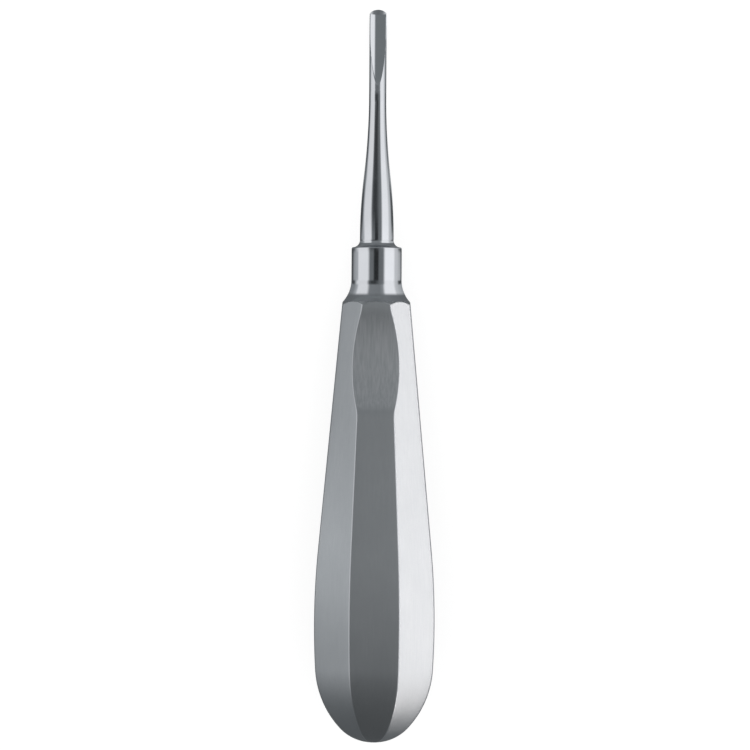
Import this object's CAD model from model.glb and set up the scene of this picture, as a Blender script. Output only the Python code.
"""Dental elevator: the looks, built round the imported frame.

Every shape is worked out in the tool's own frame, in millimetres: z runs from the butt to the tip,
"front" points out of the side with the thumb recess and the hollow of the blade, and x points to
the right of someone who looks at the front. Layout turns such a point into the row frame in metres.
"""

import logging
import math
from collections.abc import Callable, Sequence
from dataclasses import dataclass, field
from enum import Enum
from functools import cached_property
from typing import ClassVar

import bmesh
import bpy
from mathutils import Matrix, Vector


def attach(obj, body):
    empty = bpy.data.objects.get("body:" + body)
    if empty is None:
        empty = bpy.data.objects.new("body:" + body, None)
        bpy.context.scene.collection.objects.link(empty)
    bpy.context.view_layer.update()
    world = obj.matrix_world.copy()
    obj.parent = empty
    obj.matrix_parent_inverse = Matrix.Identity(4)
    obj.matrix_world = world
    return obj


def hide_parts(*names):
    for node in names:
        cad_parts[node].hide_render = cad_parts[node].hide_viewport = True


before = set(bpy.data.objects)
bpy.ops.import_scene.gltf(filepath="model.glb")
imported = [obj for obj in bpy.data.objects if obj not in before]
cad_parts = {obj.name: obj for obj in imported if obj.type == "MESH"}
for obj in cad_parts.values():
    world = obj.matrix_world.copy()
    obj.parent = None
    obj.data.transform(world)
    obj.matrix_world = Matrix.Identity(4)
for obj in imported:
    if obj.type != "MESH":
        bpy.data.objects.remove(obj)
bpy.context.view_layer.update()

log = logging.getLogger("dental_elevator")

MM = 0.001
FACETS = 8
HALF_FACET = math.pi / FACETS
MERGE = 1e-7

Point = tuple[float, float]
Bands = tuple[tuple[float, float], ...]

# Sockets of a colour Mix node
MIX_SHARE, MIX_FIRST, MIX_SECOND, MIX_RESULT = 0, 6, 7, 2
# Most of a noise texture lies between these
NOISE_LOW, NOISE_HIGH = 0.3, 0.7


class Side(Enum):
    """The two halves that the handle is closed from."""

    FRONT = "handle_front_shell"
    BACK = "handle_back_shell"


# ----------------------------------------------------------------------------- sizes


@dataclass(frozen=True)
class Layout:
    """How the instrument lies on its back: tilt, height and middle, from the part's own sizes."""

    overall_length: float = 150.0
    handle_length: float = 90.0
    handle_across: float = 24.5
    belly_z: float = 24.5
    belly_radius: float = 160.0
    butt_side_radius: float = 19.8
    butt_drop: float = 9.3
    shoulder_across: float = 13.9
    shoulder_bevel: float = 0.5
    neck_d: float = 10.25
    cove_radius: float = 6.3
    cove_land: float = 0.3
    neck_length: float = 6.3
    neck_edge: float = 0.35
    cone_height: float = 1.2
    root_d: float = 6.88
    blade_d: float = 3.5
    shank_radius: float = 106.0
    root_bulge: float = 0.8
    fillet_rise: float = 0.28
    end_r: float = 6.85
    slim_run: float = 2.0
    bend_to_tip: float = 19.5
    bend_angle: float = math.radians(8.0)
    bend_radius: float = 15.0
    edge_height: float = 0.36
    relief_length: float = 1.85
    relief_depth: float = 0.3

    @cached_property
    def flank_top_z(self) -> float:
        """Height at which the flats are as wide as the shoulder."""
        return self.handle_length - self.shoulder_bevel

    @cached_property
    def belly_centre(self) -> Point:
        """Centre of the belly's arc, as (r, z)."""
        return self.handle_across / 2 - self.belly_radius, self.belly_z

    @cached_property
    def taper(self) -> float:
        """Angle of the straight flank to the axis."""
        r, z = self.belly_centre
        dr, dz = self.shoulder_across / 2 - r, self.flank_top_z - z
        return math.atan2(dz, dr) - math.acos(self.belly_radius / math.hypot(dr, dz))

    @cached_property
    def cove_r(self) -> float:
        """Radius of the land under the cove."""
        return self.shoulder_across / 2 - self.shoulder_bevel / 2

    @cached_property
    def cove_height(self) -> float:
        """Height of the cove between the land and the cylinder."""
        side = self.cove_radius - (self.cove_r - self.neck_d / 2)
        return math.sqrt(self.cove_radius**2 - side**2)

    @cached_property
    def neck_z(self) -> float:
        """Height of the lower end of the neck's cylinder."""
        return self.handle_length + self.cove_land + self.cove_height

    @cached_property
    def cone_z(self) -> float:
        """Height of the foot of the hollow cone."""
        return self.neck_z + self.neck_length + self.neck_edge

    @cached_property
    def seat_z(self) -> float:
        """Height of the neck's top, where the shank stands."""
        return self.cone_z + self.cone_height

    @cached_property
    def fillet_radius(self) -> float:
        """Radius of the fillet from the shank down to the neck's shoulder."""
        dr = self.neck_d / 2 - self.neck_edge - self.fillet_top[0]
        dz = self.fillet_top[1] - self.cone_z
        return (dr**2 + dz**2) / (2 * dr)

    @cached_property
    def fillet_top(self) -> Point:
        """Where the fillet leaves the shank, as (r, z)."""
        z = self.seat_z + self.fillet_rise
        return arc_radius(self.full_centre, self.shank_radius, z), z

    def fillet_r(self, z: float) -> float:
        """Distance of the fillet from the axis, at height z."""
        r, top = self.fillet_top
        drop = min(top - z, self.fillet_radius)
        return r + self.fillet_radius - math.sqrt(self.fillet_radius**2 - drop**2)

    @cached_property
    def bend_z(self) -> float:
        """Height at which the bend starts."""
        return self.overall_length - self.bend_to_tip

    @cached_property
    def full_centre(self) -> Point:
        """Centre of the full arc at the shank's root, as (r, z)."""
        return self.root_d / 2 - self.shank_radius, self.seat_z + self.root_bulge

    @cached_property
    def full_angle(self) -> float:
        """Angle over which the shank's root is full."""
        span = self.bend_z + self.slim_run - self.full_centre[1]
        return math.asin((self.root_d - self.blade_d) / span)

    @cached_property
    def hollow_radius(self) -> float:
        """Radius of the shank's hollow arc."""
        span = self.bend_z + self.slim_run - self.full_centre[1]
        full_span = self.shank_radius * math.sin(self.full_angle)
        return (span - full_span) / math.sin(self.full_angle)

    @cached_property
    def hollow_centre(self) -> Point:
        """Centre of the shank's hollow arc, as (r, z)."""
        reach = self.shank_radius + self.hollow_radius
        r, z = self.full_centre
        return r + reach * math.cos(self.full_angle), z + reach * math.sin(self.full_angle)

    def hollow_r(self, z: float) -> float:
        """Distance of the shank's hollow arc from the axis, at height z."""
        r, centre_z = self.hollow_centre
        return r - math.sqrt(self.hollow_radius**2 - (centre_z - z) ** 2)

    @cached_property
    def bar_r(self) -> float:
        """Radius of the blade's bar."""
        return self.hollow_r(self.bend_z)

    @cached_property
    def bar_start(self) -> Point:
        """Where the bar leaves the bend, as (backwards, up) from the bend's start."""
        return (
            self.bend_radius * (1 - math.cos(self.bend_angle)),
            self.bend_radius * math.sin(self.bend_angle),
        )

    @cached_property
    def bar_length(self) -> float:
        """Length of the straight bar from the bend to the tip."""
        rise = self.bend_to_tip - self.bar_start[1]
        lift = (self.bar_r - self.edge_height) * math.sin(self.bend_angle)
        return (rise + lift) / math.cos(self.bend_angle)

    def on_bar(self, s: float, back: float) -> Point:
        """A point of the bar's mid plane.

        Args:
            s: distance along the bar.
            back: distance from its axis towards its back.

        Returns:
            The point as (backwards, up) in the tool's frame.
        """
        c, d = math.cos(self.bend_angle), math.sin(self.bend_angle)
        start = self.bar_start
        return start[0] + s * d + back * c, self.bend_z + start[1] + s * c - back * d

    def _touch(self, point: Point) -> float:
        """Tilt of the line that touches both the belly's back flat and a point."""
        dr, dz = point[0] - self.belly_centre[0], point[1] - self.belly_centre[1]
        return math.atan2(dz, dr) - math.acos(self.belly_radius / math.hypot(dr, dz))

    @cached_property
    def tilt(self) -> float:
        """Angle by which the axis dips to the tip when the instrument lies on its back."""
        start = self.on_bar(self.bar_length - self.relief_length, self.bar_r)
        end = self.on_bar(self.bar_length, self.bar_r - self.relief_depth)
        return min(self._touch(start), self._touch(end))

    @cached_property
    def rest_height(self) -> float:
        """Height of the tool's origin over the surface."""
        r, z = self.belly_centre
        return self.belly_radius + r * math.cos(self.tilt) + z * math.sin(self.tilt)

    @cached_property
    def middle_y(self) -> float:
        """Where the middle of the instrument's length comes before it is centred."""
        r, z = self.belly_centre
        side_a = math.asin(self.butt_drop / self.belly_radius)
        run = self.belly_radius - self.butt_side_radius
        side = (r + run * math.cos(side_a), z - run * math.sin(side_a))
        butt = (self.butt_side_radius**2 - side[0] ** 2 - side[1] ** 2) / (
            2 * (self.butt_side_radius - side[1])
        )
        tip = self.on_bar(self.bar_length, self.bar_r - self.edge_height)
        tip_y = tip[1] * math.cos(self.tilt) - tip[0] * math.sin(self.tilt)
        return (butt * (math.cos(self.tilt) - 1) + tip_y) / 2

    @cached_property
    def along(self) -> Vector:
        """Direction of the tool's axis, towards the tip."""
        return Vector((0.0, math.cos(self.tilt), -math.sin(self.tilt)))

    @cached_property
    def ahead(self) -> Vector:
        """Direction out of the tool's front."""
        return Vector((0.0, math.sin(self.tilt), math.cos(self.tilt)))

    @cached_property
    def origin(self) -> Vector:
        """Where the middle of the butt's end lies, in millimetres of the row frame."""
        return Vector((0.0, -self.middle_y, self.rest_height))

    def place(self, x: float, front: float, z: float) -> Vector:
        """A point of the tool in the row frame.

        Args:
            x: millimetres to the right.
            front: millimetres from the axis towards the front.
            z: millimetres from the butt.

        Returns:
            The point in metres.
        """
        side = Vector((x, 0.0, 0.0))
        return (side + self.origin + self.ahead * front + self.along * z) * MM

    def read(self, point: Vector) -> tuple[float, float, float]:
        """Where a point of the row frame lies on the tool: the reverse of place.

        Args:
            point: the point, in metres.

        Returns:
            Its x, front and z in millimetres.
        """
        out = point / MM - self.origin
        return out.x, out.dot(self.ahead), out.dot(self.along)


LAYOUT = Layout()


# ----------------------------------------------------------------------------- colours, nodes


def linear(colour: str) -> tuple[float, float, float, float]:
    """Turns an sRGB hex colour to linear.

    Args:
        colour: six hex digits after a hash.

    Returns:
        Red, green and blue, linear, and a full alpha.
    """
    parts = [int(colour[i : i + 2], 16) / 255 for i in (1, 3, 5)]
    red, green, blue = (
        c / 12.92 if c <= 0.04045 else ((c + 0.055) / 1.055) ** 2.4 for c in parts
    )
    return red, green, blue, 1.0


def add(
    tree: bpy.types.NodeTree, kind: str, inputs: dict | None = None, **settings: object
) -> bpy.types.Node:
    """Adds a node with its settings and links.

    Args:
        tree: the node tree it goes into.
        kind: the node's type.
        inputs: for each input, by name or number, a value or the socket that it comes from.
        settings: attributes of the node.

    Returns:
        The node.
    """
    node = tree.nodes.new(kind)
    for name, value in settings.items():
        setattr(node, name, value)
    for name, value in (inputs or {}).items():
        if isinstance(value, bpy.types.NodeSocket):
            tree.links.new(value, node.inputs[name])
        else:
            node.inputs[name].default_value = value
    return node


def blank_material(name: str) -> tuple[bpy.types.Material, bpy.types.NodeTree]:
    """Starts a material.

    Args:
        name: its name.

    Returns:
        The material and its node tree, still empty.
    """
    material = bpy.data.materials.new(name)
    material.use_nodes = True
    material.node_tree.nodes.clear()
    return material, material.node_tree


def tool_space(tree: bpy.types.NodeTree) -> bpy.types.NodeSocket:
    """Adds Object coordinates, turned so that y runs along the tool's axis.

    Args:
        tree: the node tree they go into.

    Returns:
        The coordinates.
    """
    coords = add(tree, "ShaderNodeTexCoord").outputs["Object"]
    return add(
        tree, "ShaderNodeMapping", {"Vector": coords, "Rotation": (LAYOUT.tilt, 0.0, 0.0)}
    ).outputs["Vector"]


# ----------------------------------------------------------------------------- finishes


@dataclass(frozen=True)
class PolishedSteel:
    """Hardened stainless steel, ground and then buffed to a mirror.

    The buffing wheel leaves hair-fine scratches and a roughness that drifts a little, so a
    reflection is sharp but not perfectly even.
    """

    name: str = "stainless_steel_mirror_polished"
    colour: str = "#CDCFD2"
    haze_colour: str = "#C2C5C9"
    roughness: float = 0.07
    drift: float = 0.03
    # Real buffing scratches are about 0.01 mm apart; they are drawn coarser so that they show
    scratch_mm: float = 0.16
    cloud_mm: float = 5.0
    scratch_height_mm: float = 0.0004
    scratch_strength: float = 0.12
    # Buffing runs round the tool, so its marks are stretched across the axis
    scratch_stretch: tuple[float, float, float] = (0.12, 1.0, 0.12)

    def make(self) -> bpy.types.Material:
        """Makes the material.

        Returns:
            The material.
        """
        material, tree = blank_material(self.name)
        turned = tool_space(tree)
        stretched = add(
            tree, "ShaderNodeMapping", {"Vector": turned, "Scale": self.scratch_stretch}
        ).outputs["Vector"]
        scratches, clouds = (
            add(
                tree,
                "ShaderNodeTexNoise",
                {"Vector": space, "Scale": 1 / (size * MM), "Detail": detail},
            ).outputs["Fac"]
            for space, size, detail in (
                (stretched, self.scratch_mm, 4.0),
                (turned, self.cloud_mm, 3.0),
            )
        )
        colour = add(
            tree,
            "ShaderNodeMix",
            {
                MIX_SHARE: clouds,
                MIX_FIRST: linear(self.colour),
                MIX_SECOND: linear(self.haze_colour),
            },
            data_type="RGBA",
        ).outputs[MIX_RESULT]
        rough = add(
            tree,
            "ShaderNodeMapRange",
            {
                "Value": scratches,
                "From Min": NOISE_LOW,
                "From Max": NOISE_HIGH,
                "To Min": self.roughness - self.drift / 2,
                "To Max": self.roughness + self.drift,
            },
        ).outputs["Result"]
        bump = add(
            tree,
            "ShaderNodeBump",
            {
                "Height": scratches,
                "Strength": self.scratch_strength,
                "Distance": self.scratch_height_mm * MM,
            },
        ).outputs["Normal"]
        shader = add(
            tree,
            "ShaderNodeBsdfPrincipled",
            {"Base Color": colour, "Roughness": rough, "Metallic": 1.0, "Normal": bump},
        )
        add(tree, "ShaderNodeOutputMaterial", {"Surface": shader.outputs["BSDF"]})
        return material


@dataclass(frozen=True)
class SatinSteel:
    """Stainless steel sheet, polished and then glass-bead blasted to a fine satin.

    The beads leave a fine even grain that spreads each reflection, and handling leaves faint
    clouds and a few lengthwise rubs.
    """

    GROUND: ClassVar[str] = "ground"
    EDGE: ClassVar[str] = "edge"

    name: str = "stainless_steel_bead_blasted_satin"
    colour: str = "#9A9EA1"
    worn_colour: str = "#A8ABAE"
    # The thumb recess is ground lengthwise after blasting
    ground_colour: str = "#A5A9AC"
    ground_streak_colour: str = "#B3B6B9"
    # The edges are rubbed brighter and smoother by handling
    edge_colour: str = "#B2B5B8"
    edge_roughness: float = 0.32
    roughness: float = 0.46
    drift: float = 0.08
    # Bead marks are about 0.05 mm; they are drawn at four times that so that they show
    grain_mm: float = 0.2
    cloud_mm: float = 7.0
    rub_mm: float = 0.35
    grain_height_mm: float = 0.004
    grain_strength: float = 0.35
    rub_stretch: tuple[float, float, float] = (1.0, 0.06, 1.0)
    # The streaks in the ground recess run over this much of the rubs' noise
    streak_low: float = 0.35
    streak_high: float = 0.65

    def make(self) -> bpy.types.Material:
        """Makes the material.

        Returns:
            The material.
        """
        material, tree = blank_material(self.name)
        turned = tool_space(tree)
        stretched = add(
            tree, "ShaderNodeMapping", {"Vector": turned, "Scale": self.rub_stretch}
        ).outputs["Vector"]
        grain, clouds, rubs = (
            add(
                tree,
                "ShaderNodeTexNoise",
                {"Vector": space, "Scale": 1 / (size * MM), "Detail": detail},
            ).outputs["Fac"]
            for space, size, detail in (
                (turned, self.grain_mm, 3.0),
                (turned, self.cloud_mm, 4.0),
                (stretched, self.rub_mm, 2.0),
            )
        )
        worn = add(
            tree, "ShaderNodeMath", {0: clouds, 1: rubs}, operation="MULTIPLY"
        ).outputs["Value"]
        streaks = add(
            tree,
            "ShaderNodeMapRange",
            {"Value": rubs, "From Min": self.streak_low, "From Max": self.streak_high},
        ).outputs["Result"]
        in_recess, on_edge = (
            add(tree, "ShaderNodeAttribute", attribute_name=name).outputs["Fac"]
            for name in (self.GROUND, self.EDGE)
        )
        blasted, ground = (
            add(
                tree,
                "ShaderNodeMix",
                {MIX_SHARE: share, MIX_FIRST: linear(first), MIX_SECOND: linear(second)},
                data_type="RGBA",
            ).outputs[MIX_RESULT]
            for share, first, second in (
                (worn, self.colour, self.worn_colour),
                (streaks, self.ground_colour, self.ground_streak_colour),
            )
        )
        colour = blasted
        for share, over in ((in_recess, ground), (on_edge, linear(self.edge_colour))):
            colour = add(
                tree,
                "ShaderNodeMix",
                {MIX_SHARE: share, MIX_FIRST: colour, MIX_SECOND: over},
                data_type="RGBA",
            ).outputs[MIX_RESULT]
        drifted = add(
            tree,
            "ShaderNodeMapRange",
            {
                "Value": grain,
                "From Min": NOISE_LOW,
                "From Max": NOISE_HIGH,
                "To Min": self.roughness - self.drift / 2,
                "To Max": self.roughness + self.drift / 2,
            },
        ).outputs["Result"]
        rough = add(
            tree,
            "ShaderNodeMapRange",
            {"Value": on_edge, "To Min": drifted, "To Max": self.edge_roughness},
        ).outputs["Result"]
        bump = add(
            tree,
            "ShaderNodeBump",
            {
                "Height": grain,
                "Strength": self.grain_strength,
                "Distance": self.grain_height_mm * MM,
            },
        ).outputs["Normal"]
        shader = add(
            tree,
            "ShaderNodeBsdfPrincipled",
            {"Base Color": colour, "Roughness": rough, "Metallic": 1.0, "Normal": bump},
        )
        add(tree, "ShaderNodeOutputMaterial", {"Surface": shader.outputs["BSDF"]})
        return material


@dataclass(frozen=True)
class DrawnSteel:
    """Stainless pin stock as drawn: dull, with fine lines along the pin."""

    name: str = "stainless_steel_drawn_pin"
    colour: str = "#A8A8A5"
    roughness: float = 0.38
    drift: float = 0.08
    line_mm: float = 0.12
    line_stretch: tuple[float, float, float] = (0.05, 1.0, 1.0)

    def make(self) -> bpy.types.Material:
        """Makes the material.

        Returns:
            The material.
        """
        material, tree = blank_material(self.name)
        coords = add(tree, "ShaderNodeTexCoord").outputs["Object"]
        stretched = add(
            tree, "ShaderNodeMapping", {"Vector": coords, "Scale": self.line_stretch}
        ).outputs["Vector"]
        lines = add(
            tree,
            "ShaderNodeTexNoise",
            {"Vector": stretched, "Scale": 1 / (self.line_mm * MM), "Detail": 2.0},
        ).outputs["Fac"]
        rough = add(
            tree,
            "ShaderNodeMapRange",
            {
                "Value": lines,
                "To Min": self.roughness - self.drift,
                "To Max": self.roughness + self.drift,
            },
        ).outputs["Result"]
        shader = add(
            tree,
            "ShaderNodeBsdfPrincipled",
            {"Base Color": linear(self.colour), "Roughness": rough, "Metallic": 1.0},
        )
        add(tree, "ShaderNodeOutputMaterial", {"Surface": shader.outputs["BSDF"]})
        return material


# ----------------------------------------------------------------------------- meshes


def loft(rows: Sequence[Sequence[Vector]]) -> bmesh.types.BMesh:
    """Bends a flat grid into a closed skin.

    Args:
        rows: for each row of the grid, the place of each of its points. Points that coincide
            are merged, which closes seams and poles.

    Returns:
        The bmesh, with its faces outward.
    """
    columns = len(rows[0])
    bm = bmesh.new()
    bmesh.ops.create_grid(bm, x_segments=columns - 1, y_segments=len(rows) - 1, size=1.0)
    for vert in list(bm.verts):
        column = round((vert.co.x + 1) / 2 * (columns - 1))
        row = round((vert.co.y + 1) / 2 * (len(rows) - 1))
        vert.co = rows[row][column]
    bmesh.ops.remove_doubles(bm, verts=bm.verts, dist=MERGE)
    bmesh.ops.dissolve_degenerate(bm, edges=bm.edges, dist=MERGE)
    bmesh.ops.recalc_face_normals(bm, faces=bm.faces)
    return bm


def to_object(bm: bmesh.types.BMesh, name: str) -> bpy.types.Object:
    """Turns a bmesh into an object of the scene.

    Args:
        bm: the bmesh, which is freed.
        name: the object's name.

    Returns:
        The object, at the origin.
    """
    mesh = bpy.data.meshes.new(name)
    bm.to_mesh(mesh)
    bm.free()
    piece = bpy.data.objects.new(name, mesh)
    bpy.context.scene.collection.objects.link(piece)
    return piece


def finish_piece(bm: bmesh.types.BMesh, name: str, sharp: float) -> bpy.types.Object:
    """Turns a bmesh into a smooth-shaded object with crisp edges.

    Args:
        bm: the bmesh, which is freed.
        name: the object's name.
        sharp: angle between two faces from which their edge stays crisp.

    Returns:
        The object, at the origin.
    """
    for face in bm.faces:
        face.smooth = True
    for edge in bm.edges:
        edge.smooth = not (edge.is_manifold and edge.calc_face_angle(0.0) > sharp)
    return to_object(bm, name)


def arc_radius(centre: Point, radius: float, z: float) -> float:
    """Distance from the axis of a full arc at height z."""
    return centre[0] + math.sqrt(max(radius**2 - (z - centre[1]) ** 2, 0.0))


def soft_min(a: float, b: float, blend: float) -> float:
    """The smaller of two numbers, with the change from one to the other rounded off.

    Args:
        a: one number.
        b: the other.
        blend: how far apart they may be before the rounding ends.

    Returns:
        The rounded minimum.
    """
    if blend <= 0 or abs(a - b) >= blend:
        return min(a, b)
    h = (blend - abs(a - b)) / blend
    return min(a, b) - h * h * blend / 4


def solve(value: Callable[[float], float], low: float, high: float) -> float:
    """Finds where a falling function crosses zero.

    Args:
        value: the function.
        low: where the search starts.
        high: where it ends.

    Returns:
        The crossing, or the end of the range that is nearest to it.
    """
    if value(low) <= 0:
        return low
    if value(high) >= 0:
        return high
    for _ in range(40):
        middle = (low + high) / 2
        low, high = (middle, high) if value(middle) > 0 else (low, middle)
    return (low + high) / 2


def steps(start: float, end: float, size: float) -> list[float]:
    """Evenly spaced numbers from start to just before end, about size apart."""
    count = max(1, round((end - start) / size))
    return [start + (end - start) * i / count for i in range(count)]


# ----------------------------------------------------------------------------- handle


@dataclass
class Handle:
    """The hollow pear-shaped octagonal handle, pressed as two shells and closed on the spigot."""

    layout: Layout = LAYOUT
    wall: float = 1.0
    recess_length: float = 21.0
    recess_depth: float = 1.4
    recess_below: float = 12.2
    edge_round: float = 0.6
    side_round: float = 1.2
    recess_edge_round: float = 0.35
    end_round: float = 0.12
    recess_blend: float = 0.35
    # The facet edges beside the recess are as crisp as its own from this depth on
    recess_full: float = 0.5
    # A rounding's radius is at most this share of the facet's distance from the axis, and the
    # inner skin's is smaller by this share of the wall
    most_round: float = 0.3
    inner_round: float = 0.3
    least_round: float = 1e-4
    # The grinding shows in full from this depth on, on faces this near to the recess's floor
    ground_fade: float = 0.5
    floor_near: float = 0.02
    # A face counts as a rubbed edge from this many degrees off a facet, fully so after these
    edge_from: float = 3.0
    edge_over: float = 9.0
    butt_flat: float = 0.4
    pole_rise: float = 0.002
    butt_rows: int = 26
    flat_steps: int = 4
    round_steps: int = 5
    side_step: float = 0.4
    flank_step: float = 0.6
    recess_step: float = 0.5
    # The recess's lower end, with finer rows
    run_out: float = 1.0
    run_out_step: float = 0.1
    # Over its last stretch each column has its own rows: 1 is the bevel's edge, 2 the end face
    end_run: float = 3.6
    end_rows: tuple[float, ...] = (
        0.2, 0.4, 0.55, 0.7, 0.8, 0.86, 0.9, 0.93, 0.96, 0.98, 1.0,
        1.06, 1.12, 1.2, 1.3, 1.45, 1.6, 1.8, 2.0,
    )
    crisp: float = math.radians(12.0)
    finish: SatinSteel = field(default_factory=SatinSteel)

    @cached_property
    def side_centre(self) -> Point:
        """Centre of the arc that closes a side below the belly."""
        r, z = self.layout.belly_centre
        angle = self.side_angle
        run = self.layout.belly_radius - self.layout.butt_side_radius
        return r + run * math.cos(angle), z - run * math.sin(angle)

    @cached_property
    def side_angle(self) -> float:
        """Angle below the belly at which the side's arc starts."""
        return math.asin(self.layout.butt_drop / self.layout.belly_radius)

    @cached_property
    def butt_radius(self) -> float:
        """Radius of the butt's arc."""
        r, z = self.side_centre
        side = self.layout.butt_side_radius
        return (side**2 - r**2 - z**2) / (2 * (side - z))

    @cached_property
    def butt_angle(self) -> float:
        """Angle at which the butt's arc runs into the side's."""
        return math.acos(-self.side_centre[0] / (self.layout.butt_side_radius - self.butt_radius))

    @cached_property
    def side_low(self) -> float:
        """Height at which the butt's arc runs into the side's."""
        return self.side_centre[1] - self.layout.butt_side_radius * math.sin(self.butt_angle)

    def flat_r(self, z: float) -> float:
        """Distance of a flat from the axis.

        Args:
            z: height over the butt.

        Returns:
            The distance in millimetres.
        """
        lay = self.layout
        belly_low = lay.belly_z - lay.butt_drop
        belly_high = lay.belly_z + lay.belly_radius * math.sin(lay.taper)
        if z >= belly_high:
            return lay.shoulder_across / 2 + (lay.flank_top_z - z) * math.tan(lay.taper)
        if z >= belly_low:
            return arc_radius(lay.belly_centre, lay.belly_radius, z)
        if z >= self.side_low:
            return arc_radius(self.side_centre, lay.butt_side_radius, z)
        return arc_radius((0.0, self.butt_radius), self.butt_radius, z)

    def recess_r(self, z: float) -> float:
        """Distance of the recess's floor from the axis, at height z."""
        lay = self.layout
        radius = ((self.recess_length / 2) ** 2 + self.recess_depth**2) / (2 * self.recess_depth)
        middle_z = lay.handle_length - self.recess_below
        lift = radius - self.recess_depth
        flank = lay.shoulder_across / 2 + (lay.flank_top_z - middle_z) * math.tan(lay.taper)
        centre = (flank + lift * math.cos(lay.taper), middle_z + lift * math.sin(lay.taper))
        rest = radius**2 - (z - centre[1]) ** 2
        return centre[0] - math.sqrt(rest) if rest > 0 else math.inf

    def half_section(self, z: float, inset: float, side: Side) -> list[Point]:
        """Half a cross-section, from the right side's middle over the shell's facet to the left's.

        Args:
            z: height over the butt.
            inset: how far the section lies under the handle's skin.
            side: which half.

        Returns:
            Points (x, outwards), always the same number of them.
        """
        r = self.flat_r(z) - inset
        flats = [r] * 5
        rounds = [self.side_round, self.edge_round, self.edge_round, self.side_round]
        if side is Side.FRONT:
            floor = self.recess_r(z) - inset
            flats[2] = soft_min(r, floor, self.recess_blend)
            if floor < r:
                share = min(1.0, (r - floor) / self.recess_full)
                tight = self.edge_round + (self.recess_edge_round - self.edge_round) * share
                rounds[1] = rounds[2] = tight
        facet = 2 * HALF_FACET
        arcs: list[list[Point]] = []
        for k, wanted in enumerate(rounds):
            a, b = flats[k], flats[k + 1]
            angle = math.pi / 2 - facet * k
            # Where the flats k and k+1 meet, seen from the first one's middle
            along = (b - a * math.cos(facet)) / math.sin(facet)
            corner_x = math.sin(angle) * a - math.cos(angle) * along
            corner_y = math.cos(angle) * a + math.sin(angle) * along
            most = self.most_round * min(a, b)
            radius = max(self.least_round, min(wanted - inset * self.inner_round, most))
            reach = radius / math.cos(HALF_FACET)
            middle_x = corner_x - reach * math.sin(angle - HALF_FACET)
            middle_y = corner_y - reach * math.cos(angle - HALF_FACET)
            turns = [angle - facet * i / self.round_steps for i in range(self.round_steps + 1)]
            arcs.append(
                [(middle_x + radius * math.sin(t), middle_y + radius * math.cos(t)) for t in turns]
            )
        points: list[Point] = []
        x, y = r, 0.0
        for arc in arcs + [[(-r, 0.0)]]:
            for i in range(self.flat_steps):
                t = i / self.flat_steps
                points.append((x + (arc[0][0] - x) * t, y + (arc[0][1] - y) * t))
            points += arc[:-1]
            x, y = arc[-1]
        return points + [(x, y)]

    def heights(self) -> list[float]:
        """Heights of the skin's rows, from the butt up to the last one that all columns share."""
        lay = self.layout
        flat_a = math.asin(self.butt_flat / self.butt_radius)
        low_a = math.pi / 2 - self.butt_angle
        rows = [0.0, self.pole_rise]
        for i in range(1, self.butt_rows):
            a = flat_a + (low_a - flat_a) * i / self.butt_rows
            rows.append(self.butt_radius * (1 - math.cos(a)))
        belly_low = lay.belly_z - lay.butt_drop
        recess_low = lay.handle_length - self.recess_below - self.recess_length / 2
        rows += steps(self.side_low, belly_low, self.side_step)
        rows += steps(belly_low, recess_low - self.run_out, self.flank_step)
        rows += steps(recess_low - self.run_out, recess_low + self.run_out, self.run_out_step)
        rows += steps(recess_low + self.run_out, lay.handle_length - self.end_run, self.recess_step)
        return rows

    def end_radius(self, z: float) -> float:
        """Distance from the axis of the rounded bevel that ends the facets, at height z."""
        end_r = self.layout.end_r
        up = z - (self.layout.handle_length - end_r)
        return math.sqrt(max(2 * end_r**2 - up**2, 0.0))

    def skin(self, side: Side) -> tuple[list[list[Vector]], list[list[Vector]]]:
        """Outer and inner skin of a shell.

        Args:
            side: which half.

        Returns:
            The rows of the outer skin and those of the inner one.
        """
        lay = self.layout
        sign = 1.0 if side is Side.FRONT else -1.0
        top = lay.handle_length
        rows = self.heights()
        base = rows[-1]
        count = len(self.half_section(base, 0.0, side))
        pole = [(0.0, 0.0)] * count
        outer = []
        for z in rows:
            section = self.half_section(z, 0.0, side) if z else pole
            outer.append([lay.place(x, sign * f, z) for x, f in section])

        def room(z: float, column: int) -> float:
            """How far a column lies inside the bevel at height z."""
            return self.end_radius(z) - math.hypot(*self.half_section(z, 0.0, side)[column])

        edges = [solve(lambda z, j=j: room(z, j), base, top) for j in range(count)]
        for t in self.end_rows:
            row = []
            for j, edge in enumerate(edges):
                z = base + (edge - base) * t if t <= 1 else edge + (top - edge) * (t - 1)
                x, f = self.half_section(z, 0.0, side)[j]
                reach = math.hypot(x, f)
                scale = soft_min(reach, self.end_radius(z), self.end_round) / reach
                row.append(lay.place(x * scale, sign * f * scale, z))
            outer.append(row)
        more = len(self.end_rows)
        inner = []
        for z in rows + [base + (top - base) * (i + 1) / more for i in range(more)]:
            z_in = self.wall + z * (top - self.wall) / top
            section = self.half_section(z_in, self.wall, side) if z else pole
            inner.append([lay.place(x, sign * f, z_in) for x, f in section])
        return outer, inner

    def build(self, side: Side) -> bpy.types.Object:
        """Builds one shell as a closed solid.

        Args:
            side: which half.

        Returns:
            The shell.
        """
        outer, inner = self.skin(side)
        rows = [a + list(reversed(b)) + [a[0]] for a, b in zip(outer, inner)]
        middle = [(a + b) / 2 for a, b in zip(outer[-1], inner[-1])]
        rows.append(middle + list(reversed(middle)) + [middle[0]])
        shell = finish_piece(loft(rows), f"shell_{side.name.lower()}", self.crisp)
        self.mark(shell.data, side)
        return shell

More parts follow.
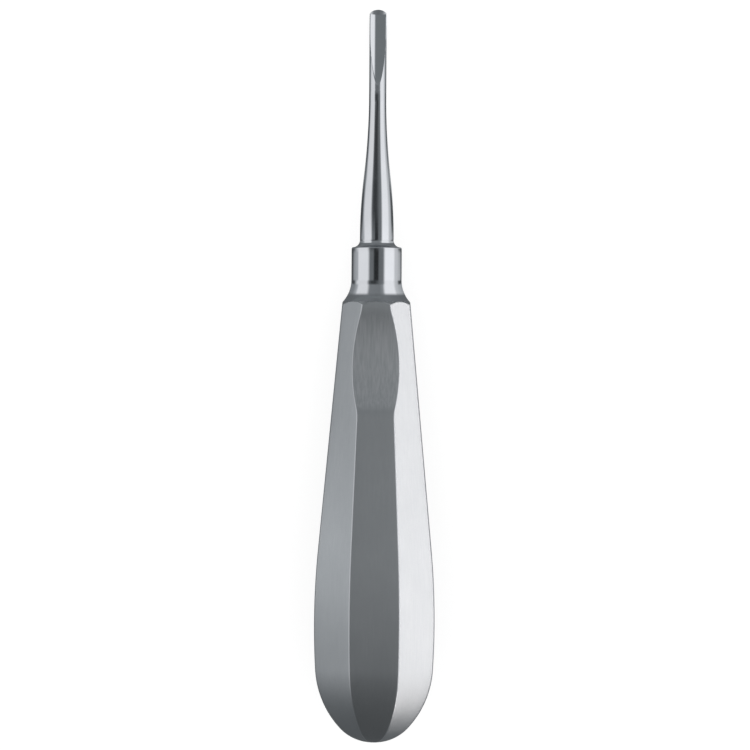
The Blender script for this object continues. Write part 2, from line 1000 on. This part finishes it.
    def mark(self, mesh: bpy.types.Mesh, side: Side) -> None:
        """Writes into the mesh where the recess's ground floor and the rubbed edges lie.

        Args:
            mesh: the shell's mesh.
            side: which half it is.
        """
        lay = self.layout
        ground = mesh.attributes.new(SatinSteel.GROUND, "FLOAT", "CORNER")
        edge = mesh.attributes.new(SatinSteel.EDGE, "FLOAT", "FACE")
        for face in mesh.polygons:
            turn = math.atan2(face.normal.x, face.normal.dot(lay.ahead))
            off = abs((turn + HALF_FACET) % (2 * HALF_FACET) - HALF_FACET)
            rubbed = max(0.0, math.degrees(off) - self.edge_from) / self.edge_over
            edge.data[face.index].value = min(1.0, rubbed)
            if side is Side.BACK:
                continue
            gaps, depths = [], []
            for index in face.vertices:
                _, front, z = lay.read(mesh.vertices[index].co)
                flat, recess = self.flat_r(z), self.recess_r(z)
                gaps.append(abs(front - soft_min(flat, recess, self.recess_blend)))
                depths.append(flat - recess)
            if max(gaps) > self.floor_near:
                continue
            for loop, depth in zip(face.loop_indices, depths):
                share = min(1.0, max(0.0, depth / self.ground_fade))
                ground.data[loop].value = share * share * (3 - 2 * share)

    def dress(self) -> list[bpy.types.Object]:
        """Builds both shells, gives them their finish and lets them stand for the frame's.

        Returns:
            The shells.
        """
        satin = self.finish.make()
        shells = []
        for side in Side:
            shell = self.build(side)
            shell.data.materials.append(satin)
            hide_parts(side.value)
            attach(shell, "root")
            shells.append(shell)
        return shells


# ----------------------------------------------------------------------------- neck


@dataclass
class Neck:
    """The turned neck with its hollow cone, and the spigot that the shells close round."""

    layout: Layout = LAYOUT
    handle: Handle = field(default_factory=Handle)
    fit: float = 0.02
    spigot_length: float = 14.0
    tang_d: float = 4.0
    columns: int = 192
    cove_steps: int = 36
    edge_steps: int = 12
    fillet_steps: int = 24
    cylinder_step: float = 0.9
    spigot_step: float = 0.7
    crisp: float = math.radians(11.0)
    finish: PolishedSteel = field(default_factory=PolishedSteel)

    def turned_profile(self) -> list[Point]:
        """Outline of the turned part, from the handle's end face up to the bore.

        Returns:
            Points (r, z).
        """
        lay = self.layout
        neck_r = lay.neck_d / 2
        rise, run = lay.neck_z - lay.handle_length, lay.end_r - neck_r
        cove = (rise**2 + run**2) / (2 * run)
        centre = (neck_r + cove, lay.neck_z)
        cove_a = math.asin(rise / cove)
        points = []
        for i in range(self.cove_steps + 1):
            a = math.pi + cove_a * (1 - i / self.cove_steps)
            points.append((centre[0] + cove * math.cos(a), centre[1] + cove * math.sin(a)))
        edge, edge_r, edge_z = lay.neck_edge, neck_r - lay.neck_edge, lay.cone_z - lay.neck_edge
        points += [(neck_r, z) for z in steps(lay.neck_z, edge_z, self.cylinder_step)[1:]]
        for i in range(self.edge_steps + 1):
            a = math.pi / 2 * i / self.edge_steps
            points.append((edge_r + edge * math.cos(a), edge_z + edge * math.sin(a)))
        # The fillet is near level at its foot, so its rows are spread by angle
        low_a = math.asin(min(1.0, (lay.fillet_top[1] - lay.cone_z) / lay.fillet_radius))
        high_a = math.asin(lay.fillet_rise / lay.fillet_radius)
        for i in range(1, self.fillet_steps + 1):
            a = low_a + (high_a - low_a) * i / self.fillet_steps
            z = lay.fillet_top[1] - lay.fillet_radius * math.sin(a)
            points.append((lay.fillet_r(z), z))
        return points

    def build(self) -> bpy.types.Object:
        """Builds the neck and its spigot as one closed solid with a bore.

        Returns:
            The neck.
        """
        lay, handle = self.layout, self.handle
        bore = self.tang_d / 2 + self.fit
        low = lay.handle_length - self.spigot_length
        turned = [(r, z, False) for r, z in self.turned_profile()]
        spigot = [
            (handle.flat_r(z) - handle.wall - self.fit, z, True)
            for z in steps(low, lay.handle_length, self.spigot_step) + [lay.handle_length]
        ]
        foot = [(bore, low, False)]
        loop = foot + spigot + turned + [(bore, lay.seat_z, False)] + foot
        rows = []
        for r, z, flat in loop:
            row = []
            for j in range(self.columns + 1):
                a = 2 * math.pi * (j % self.columns) / self.columns
                if flat:
                    offset = (a + HALF_FACET) % (2 * HALF_FACET) - HALF_FACET
                    reach = r / math.cos(offset)
                    x, f = reach * math.sin(a), reach * math.cos(a)
                    f = min(f, handle.recess_r(z) - handle.wall - self.fit)
                else:
                    x, f = r * math.sin(a), r * math.cos(a)
                row.append(lay.place(x, f, z))
            rows.append(row)
        return finish_piece(loft(rows), "neck_and_spigot", self.crisp)

    def dress(self) -> list[bpy.types.Object]:
        """Builds the neck, gives it its finish and lets it stand for the frame's.

        Returns:
            The neck alone.
        """
        neck = self.build()
        neck.data.materials.append(self.finish.make())
        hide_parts("ferrule")
        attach(neck, "root")
        return [neck]


# ----------------------------------------------------------------------------- blade


@dataclass
class Blade:
    """The forging: hidden tang, turned shank, bend, and the ground gouge."""

    layout: Layout = LAYOUT
    tang_d: float = 4.0
    tang_length: float = 23.0
    flute_length: float = 16.6
    flute_radius: float = 2.4
    floor_thickness: float = 0.6
    lip_length: float = 13.4
    lip_thickness: float = 1.2
    lip_fall: float = math.radians(20.0)
    edge_break: float = 0.16
    edge_reach: float = 0.16
    tip_radius: float = 1.9
    edge_slope: float = math.radians(21.0)
    # Columns over the relief, the low and the high part of the round back, a lip and half the
    # flute, and where these meet on the round part of the forging, in degrees from the back
    relief_steps: int = 4
    low_steps: int = 24
    high_steps: int = 24
    lip_steps: int = 6
    flute_steps: int = 16
    round_marks: tuple[float, ...] = (0.0, 5.0, 90.0, 171.0, 176.0, 180.0)
    least_width: float = 0.08
    # Spacing of the rows along the forging
    tang_edge: float = 0.2
    tang_step: float = 2.0
    fillet_step: float = 0.06
    shank_step: float = 0.4
    bend_steps: int = 10
    run_out_step: float = 0.13
    lip_step: float = 0.2
    tip_steps: int = 40
    crisp: float = math.radians(8.5)
    finish: PolishedSteel = field(default_factory=PolishedSteel)

    def round_section(self, r: float) -> list[Point]:
        """A round cross-section with the same columns as the gouge's.

        Args:
            r: its radius.

        Returns:
            Points (x, front), from the back's middle round the right side and back again.
        """
        marks = [math.radians(a) for a in self.round_marks]
        counts = (
            self.relief_steps, self.low_steps, self.high_steps, self.lip_steps, self.flute_steps,
        )
        right = [
            (r * math.sin(a), -r * math.cos(a))
            for low, high, count in zip(marks, marks[1:], counts)
            for a in steps(low, high, (high - low) / count)
        ] + [(0.0, r)]
        return right + [(-x, f) for x, f in reversed(right[:-1])]

    def gouge_section(self, s: float) -> list[Point]:
        """The ground cross-section of the bar.

        Args:
            s: distance along the bar from the bend.

        Returns:
            Points (x, front), in the same columns as the round section's.
        """
        lay = self.layout
        b, length, rho = lay.bar_r, lay.bar_length, self.flute_radius
        flute_slope = (2 * b - self.floor_thickness) / self.flute_length
        lip_slope = (2 * b - self.lip_thickness) / self.lip_length
        relief_slope = lay.relief_depth / lay.relief_length
        floor = min(
            b - flute_slope * (s - length + self.flute_length),
            -b + lay.edge_height + math.tan(self.edge_slope) * (length - s),
        )
        lip = b - lip_slope * (s - length + self.lip_length)
        relief = max(-b, -b + relief_slope * (s - length + lay.relief_length))
        past = max(0.0, s - length + self.tip_radius)
        limit = min(b, math.sqrt(max(self.tip_radius**2 - past**2, 0.0)))

        def bar(x: float) -> float:
            """Half the bar's thickness at x."""
            return math.sqrt(max(b * b - x * x, 0.0))

        def flute(x: float) -> float:
            """Height of the flute's surface at x."""
            return floor + rho - math.sqrt(max(rho * rho - x * x, 0.0))

        wide = solve(lambda x: min(lip, bar(x)) - flute(x), 0.0, min(rho, limit))

        def top(x: float) -> float:
            """Height of the ground top at x: flute, then lips, then bar, with the edge broken."""
            ground = flute(x) if x <= wide else lip - (x - wide) * math.tan(self.lip_fall)
            return soft_min(ground, bar(x), self.edge_break)

        least = min(self.least_width, limit)
        half_flute = max(wide - self.edge_reach, least)
        low = top(b) < 0
        outer = solve(lambda x: top(x) + bar(x) if low else bar(x) - top(x) - 1e-4, wide, b)
        outer = min(max(outer, half_flute + least / 2), limit)
        edge_f = max(top(outer), relief, -bar(outer))
        half_relief = min(max(math.sqrt(b * b - relief * relief), least), limit)
        turn = [math.asin(half_relief / b), math.asin(limit / b), math.acos(-edge_f / b)]
        turn[1] = max(turn[0], min(turn[1], turn[2]))
        turn[2] = max(turn[1], turn[2])

        right: list[Point] = []
        for i in range(self.relief_steps):
            x = half_relief * i / self.relief_steps
            right.append((x, max(relief, -bar(x))))
        for start, end, count in zip(turn, turn[1:], (self.low_steps, self.high_steps)):
            for i in range(count):
                a = start + (end - start) * i / count
                right.append((min(b * math.sin(a), limit), max(-b * math.cos(a), relief)))
        for i in range(self.lip_steps):
            x = outer + (half_flute - outer) * i / self.lip_steps
            right.append((x, max(top(x), relief, -bar(x))))
        for i in range(self.flute_steps + 1):
            x = half_flute * math.sin(math.pi / 2 * (1 - i / self.flute_steps))
            right.append((x, max(top(x), relief, -bar(x))))
        return right + [(-x, f) for x, f in reversed(right[:-1])]

    def stations(self) -> list[float]:
        """Distances along the bar at which the gouge has a cross-section."""
        lay = self.layout
        length = lay.bar_length
        flute_slope = (2 * lay.bar_r - self.floor_thickness) / self.flute_length
        bevel = (self.floor_thickness - lay.edge_height) / (math.tan(self.edge_slope) - flute_slope)
        flute, lips, tip = (
            length - run for run in (self.flute_length, self.lip_length, self.tip_radius)
        )
        rows = steps(0.0, flute, self.shank_step) + steps(flute, lips, self.run_out_step)
        rows += steps(lips, tip, self.lip_step)
        turns = [math.pi / 2 * i / self.tip_steps for i in range(self.tip_steps + 1)]
        last = [tip + self.tip_radius * math.sin(a) for a in turns]
        return rows + sorted(set(last + [length - bevel, length - lay.relief_length]))

    def build(self) -> bpy.types.Object:
        """Builds the forging as one closed solid.

        Returns:
            The blade.
        """
        lay = self.layout
        tang_r, low = self.tang_d / 2, lay.seat_z - self.tang_length
        edge_z, fillet_z = low + self.tang_edge, lay.fillet_top[1]
        turned: list[Point] = [(0.0, low), (tang_r - self.tang_edge, low), (tang_r, edge_z)]
        turned += [(tang_r, z) for z in steps(edge_z, lay.seat_z, self.tang_step)[1:]]
        turned.append((tang_r, lay.seat_z))
        turned += [(lay.fillet_r(z), z) for z in steps(lay.seat_z, fillet_z, self.fillet_step)]
        split = lay.full_centre[1] + lay.shank_radius * math.sin(lay.full_angle)
        for z in steps(fillet_z, split, self.shank_step):
            turned.append((arc_radius(lay.full_centre, lay.shank_radius, z), z))
        for z in steps(split, lay.bend_z, self.shank_step) + [lay.bend_z]:
            turned.append((lay.hollow_r(z), z))
        rows = [[lay.place(x, f, z) for x, f in self.round_section(r)] for r, z in turned]
        for i in range(1, self.bend_steps):
            a = lay.bend_angle * i / self.bend_steps
            row = []
            for x, f in self.round_section(lay.bar_r):
                back = lay.bend_radius - (lay.bend_radius + f) * math.cos(a)
                up = (lay.bend_radius + f) * math.sin(a)
                row.append(lay.place(x, -back, lay.bend_z + up))
            rows.append(row)
        for s in self.stations():
            row = []
            section = self.round_section(lay.bar_r) if s == 0.0 else self.gouge_section(s)
            for x, f in section:
                back, up = lay.on_bar(s, -f)
                row.append(lay.place(x, -back, up))
            rows.append(row)
        return finish_piece(loft(rows), "blade_forging", self.crisp)

    def dress(self) -> list[bpy.types.Object]:
        """Builds the blade, gives it its finish and lets it stand for the frame's.

        Returns:
            The blade alone.
        """
        blade = self.build()
        blade.data.materials.append(self.finish.make())
        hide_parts("blade")
        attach(blade, "root")
        return [blade]


@dataclass
class CrossPin:
    """The pin through spigot and tang, hidden in the handle: the frame's own solid, refinished."""

    finish: DrawnSteel = field(default_factory=DrawnSteel)

    def dress(self) -> list[bpy.types.Object]:
        """Gives the pin its finish.

        Returns:
            The pin alone.
        """
        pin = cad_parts["tang_pin"]
        material = self.finish.make()
        for slot in pin.material_slots:
            slot.material = material
        return [pin]


# ----------------------------------------------------------------------------- studio


@dataclass(frozen=True)
class SoftBox:
    """A soft box that only some pieces receive.

    It hangs off the point of the axis at the height aim_z, in mm, in the direction that turns to
    the right of the front and leans to the tip by so many degrees. Its distance and its size,
    across and along the tool, are in metres, and its power is in watts.
    """

    name: str
    turn: float
    lean: float
    aim_z: float
    size: tuple[float, float]
    power: float
    tint: tuple[float, float, float] = (1.0, 1.0, 1.0)
    distance: float = 0.6

    def hang(self, lit: bpy.types.Collection) -> None:
        """Hangs the box.

        Args:
            lit: what it lights.
        """
        turn, lean = math.radians(self.turn), math.radians(self.lean)
        out = Vector((math.sin(turn), 0.0, 0.0)) + LAYOUT.ahead * math.cos(turn)
        way = out * math.cos(lean) + LAYOUT.along * math.sin(lean)
        across = LAYOUT.along.cross(way).normalized()
        data = bpy.data.lights.new(self.name, "AREA")
        data.shape = "RECTANGLE"
        data.size, data.size_y = self.size
        data.energy = self.power
        data.color = self.tint
        light = bpy.data.objects.new(self.name, data)
        turned = Matrix((across, way.cross(across), way)).transposed().to_4x4()
        centre = LAYOUT.place(0.0, 0.0, self.aim_z) + way * self.distance
        light.matrix_world = Matrix.Translation(centre) @ turned
        light.visible_camera = False
        bpy.context.scene.collection.objects.link(light)
        light.light_linking.receiver_collection = lit


@dataclass
class Studio:
    """Pale floor, even light, the surroundings that the steel mirrors, and the camera."""

    layout: Layout = LAYOUT
    lens: float = 200.0
    sensor: float = 36.0
    # The camera sees this width, in mm, round this point of the tool, and rolls a little
    view_width: float = 153.2
    view_z: float = 75.04
    view_x: float = -0.18
    roll: float = math.radians(0.372)
    floor_size: float = 1.6
    floor_light: float = 0.8
    sky_light: float = 1.03
    # Light in the studio, seen in upright polished steel from left to right
    level_ring: Bands = (
        (-1.0, 0.13), (-0.94, 0.14), (-0.9, 0.5), (-0.75, 0.58), (-0.7, 1.15), (-0.35, 1.15),
        (-0.26, 0.24), (-0.14, 0.22), (-0.08, 0.035), (0.05, 0.035), (0.11, 0.2), (0.26, 0.25),
        (0.35, 1.36), (0.67, 1.36), (0.74, 0.86), (0.93, 0.78), (0.97, 0.3), (1.0, 0.28),
    )
    # The same in steel that leans a little to the tip, as the shank does
    gentle_ring: Bands = (
        (-1.0, 0.09), (-0.88, 0.1), (-0.82, 0.5), (-0.75, 1.05), (-0.39, 1.08),
        (-0.29, 0.16), (-0.2, 0.07), (-0.06, 0.06), (0.03, 0.11), (0.12, 0.2), (0.26, 0.28),
        (0.35, 1.25), (0.66, 1.25), (0.74, 0.85), (0.82, 0.7), (0.88, 0.12), (1.0, 0.09),
    )
    # In steel that leans more, as the coves do
    steep_ring: Bands = (
        (-1.0, 0.2), (-0.85, 0.35), (-0.75, 0.6), (-0.68, 1.1), (-0.36, 1.1), (-0.26, 0.3),
        (0.12, 0.27), (0.24, 0.4), (0.33, 1.25), (0.66, 1.25), (0.74, 0.8), (0.9, 0.6), (1.0, 0.3),
    )
    # In steel that leans further over: a dark gap
    gap_ring: Bands = ((-1.0, 0.14), (-0.3, 0.26), (0.0, 0.21), (0.3, 0.26), (1.0, 0.16))
    # In steel that leans to the butt
    butt_ring: Bands = (
        (-1.0, 0.1), (-0.7, 0.21), (-0.4, 0.18), (0.0, 0.05), (0.4, 0.2), (0.7, 0.26), (1.0, 0.15),
    )
    # Light is a little blue, and its dark parts are cooler
    blue: float = 1.012
    dark_cool: float = 0.07
    # A dark board close to the tip, which the flute mirrors wherever its own slope lies between
    # these turns to the right. The rest is in millimetres.
    flute_angle: float = math.radians(18.3)
    board_from: float = math.radians(-72.0)
    board_to: float = math.radians(11.5)
    board_light: float = 0.27
    board_distance: float = 60.0
    board_width: float = 26.0
    board_middle: float = 7.5
    board_steps: int = 24
    # These light the satin handle: the first from the right, the others a little all round
    boxes: tuple[SoftBox, ...] = (
        SoftBox("key_box", 90, -13, 51, (0.3, 1.0), 2.83, (1.0, 0.93, 0.90)),
        SoftBox("fill_box", 0, 8, 50, (0.25, 0.3), 0.14),
        SoftBox("left_box", -90, 0, 44, (0.06, 0.03), 0.0029, distance=0.08),
        SoftBox("edge_box", 42, 0, 50, (0.16, 0.6), 0.24, (1.0, 0.98, 0.97)),
        SoftBox("tip_box", 25, 62, 50, (0.5, 0.25), 0.12),
        SoftBox("tip_side_box", -90, 54, 50, (0.3, 0.3), 0.12),
    )

    def camera(self) -> None:
        """Puts the camera square over the front."""
        lay = self.layout
        data = bpy.data.cameras.new("camera")
        data.lens, data.sensor_width = self.lens, self.sensor
        distance = self.view_width * self.lens / self.sensor
        place = lay.place(self.view_x, distance, self.view_z)
        side = Vector((1.0, 0.0, 0.0))
        c, s = math.cos(self.roll), math.sin(self.roll)
        up = lay.along * c - side * s
        right = side * c + lay.along * s
        turn = Matrix((right, up, lay.ahead)).transposed().to_4x4()
        camera = bpy.data.objects.new("camera", data)
        camera.matrix_world = Matrix.Translation(place) @ turn
        bpy.context.scene.collection.objects.link(camera)
        bpy.context.scene.camera = camera

    def floor(self) -> bpy.types.Object:
        """Lays the floor: pale board, lit evenly, on which only a faint shadow shows.

        Returns:
            The floor.
        """
        bm = bmesh.new()
        bmesh.ops.create_grid(bm, x_segments=8, y_segments=8, size=self.floor_size / 2)
        floor = to_object(bm, "floor")
        material, tree = blank_material("pale_board")
        shader = add(
            tree,
            "ShaderNodeBsdfPrincipled",
            {
                "Base Color": linear("#8C8C8C"),
                "Roughness": 0.9,
                "Emission Color": linear("#FFFFFF"),
                "Emission Strength": self.floor_light,
            },
        )
        add(tree, "ShaderNodeOutputMaterial", {"Surface": shader.outputs["BSDF"]})
        floor.data.materials.append(material)
        floor.visible_glossy = False
        return floor

    def around_flute(self, turn: float, distance: float, shift: float) -> Vector:
        """A point that the flute mirrors to the camera.

        Args:
            turn: how far the flute's slope turns to the right where it mirrors the point.
            distance: how far the point lies from the flute, in millimetres.
            shift: how far it then lies towards the tip along the flute, in millimetres.

        Returns:
            The point, in metres.
        """
        lay = self.layout
        back, up = lay.on_bar(lay.bar_length - self.board_middle, 0.0)
        middle = lay.place(0.0, -back, up)
        flute_way = lay.along * math.cos(self.flute_angle) - lay.ahead * math.sin(self.flute_angle)
        upright = lay.ahead * math.cos(self.flute_angle) + lay.along * math.sin(self.flute_angle)
        view = (bpy.context.scene.camera.matrix_world.translation - middle).normalized()
        slope = upright * math.cos(turn) + Vector((math.sin(turn), 0.0, 0.0))
        way = slope * (2 * slope.dot(view)) - view
        return middle + (way * distance + flute_way * shift) * MM

    def dark_board(self) -> bpy.types.Object:
        """Hangs the dark board, a strip bent round the flute's own line.

        Returns:
            The board, which only mirror reflections show.
        """
        bm = bmesh.new()
        bmesh.ops.create_grid(bm, x_segments=self.board_steps, y_segments=1, size=0.5)
        for vert in bm.verts:
            turn = self.board_from + (self.board_to - self.board_from) * (vert.co.x + 0.5)
            vert.co = self.around_flute(turn, self.board_distance, vert.co.y * self.board_width)
        board = to_object(bm, "dark_board")
        material, tree = blank_material("dark_felt_board")
        shader = add(
            tree,
            "ShaderNodeBsdfPrincipled",
            {
                "Base Color": linear("#000000"),
                "Roughness": 1.0,
                "Specular IOR Level": 0.0,
                "Emission Color": linear("#F2FAFD"),
                "Emission Strength": self.board_light,
            },
        )
        add(tree, "ShaderNodeOutputMaterial", {"Surface": shader.outputs["BSDF"]})
        board.data.materials.append(material)
        board.visible_camera = False
        board.visible_diffuse = False
        board.visible_shadow = False
        return board

    def surroundings(self) -> None:
        """Sets the studio that the steel mirrors: soft boxes, dark gaps and the dark lens."""
        lay = self.layout
        world = bpy.data.worlds.new("studio")
        world.use_nodes = True
        tree = world.node_tree
        tree.nodes.clear()
        bpy.context.scene.world = world
        way = add(tree, "ShaderNodeTexCoord").outputs["Generated"]
        # The light from each direction is set by the slope of polished steel that mirrors it to
        # someone over the front: the half-way vector between the direction and the front
        half = add(
            tree, "ShaderNodeVectorMath", {0: way, 1: lay.ahead}, operation="ADD"
        ).outputs["Vector"]
        slope = add(
            tree, "ShaderNodeVectorMath", {0: half}, operation="NORMALIZE"
        ).outputs["Vector"]
        parts = [
            add(
                tree, "ShaderNodeVectorMath", {0: slope, 1: axis}, operation="DOT_PRODUCT"
            ).outputs["Value"]
            for axis in (Vector((1.0, 0.0, 0.0)), lay.ahead, lay.along)
        ]
        turn = add(
            tree, "ShaderNodeMath", {0: parts[0], 1: parts[1]}, operation="ARCTAN2"
        ).outputs[0]
        share = add(
            tree,
            "ShaderNodeMapRange",
            {"Value": turn, "From Min": -math.pi / 2, "From Max": math.pi / 2},
        ).outputs["Result"]

        def ring(bands: Bands) -> bpy.types.NodeSocket:
            """The light round the tool, from pairs of share of the half-width and light."""
            node = add(tree, "ShaderNodeValToRGB", {"Fac": share})
            elements = node.color_ramp.elements
            while len(elements) < len(bands):
                elements.new(1.0)
            for element, (side, light) in zip(elements, bands):
                cool = self.dark_cool * max(0.0, 1.0 - light)
                element.position = 0.5 + math.asin(side) / math.pi
                element.color = (light * (1 - cool), light, light * (self.blue + cool / 2), 1.0)
            return node.outputs["Color"]

        # Each ring takes over as the slope leans to the tip, or to the butt, from low to high
        light = ring(self.level_ring)
        for bands, low, high in (
            (self.gentle_ring, 0.018, 0.07),
            (self.steep_ring, 0.135, 0.19),
            (self.gap_ring, 0.42, 0.5),
            (self.butt_ring, 0.0, -0.42),
        ):
            lean = add(
                tree,
                "ShaderNodeMapRange",
                {"Value": parts[2], "From Min": low, "From Max": high},
            ).outputs["Result"]
            light = add(
                tree,
                "ShaderNodeMix",
                {MIX_SHARE: lean, MIX_FIRST: light, MIX_SECOND: ring(bands)},
                data_type="RGBA",
            ).outputs[MIX_RESULT]
        path = add(tree, "ShaderNodeLightPath")
        mirrored = add(tree, "ShaderNodeBackground", {"Color": light})
        plain = add(
            tree, "ShaderNodeBackground", {"Color": linear("#FFFFFF"), "Strength": self.sky_light}
        )
        chosen = add(
            tree,
            "ShaderNodeMixShader",
            {
                0: path.outputs["Is Glossy Ray"],
                1: plain.outputs["Background"],
                2: mirrored.outputs["Background"],
            },
        )
        add(tree, "ShaderNodeOutputWorld", {"Surface": chosen.outputs[0]})

    def light_handle(self, shells: Sequence[bpy.types.Object]) -> None:
        """Hangs the soft boxes, which light only the handle.

        Args:
            shells: the handle's pieces.
        """
        lit = bpy.data.collections.new("satin_handle")
        for shell in shells:
            lit.objects.link(shell)
        for box in self.boxes:
            box.hang(lit)

    def build(self) -> None:
        """Sets up camera, floor, surroundings and the view."""
        self.camera()
        self.floor()
        self.dark_board()
        self.surroundings()
        bpy.context.scene.view_settings.view_transform = "Standard"


# ----------------------------------------------------------------------------- main


def main() -> None:
    """Builds the studio and the instrument, and reports each piece."""
    logging.basicConfig(level=logging.INFO, format="%(message)s")
    studio = Studio()
    studio.build()
    for part in (Handle(), Neck(), Blade(), CrossPin()):
        pieces = part.dress()
        if isinstance(part, Handle):
            studio.light_handle(pieces)
        for piece in pieces:
            log.info("%s: %s, %d faces", type(part).__name__, piece.name, len(piece.data.polygons))


if __name__ == "__main__":
    main()
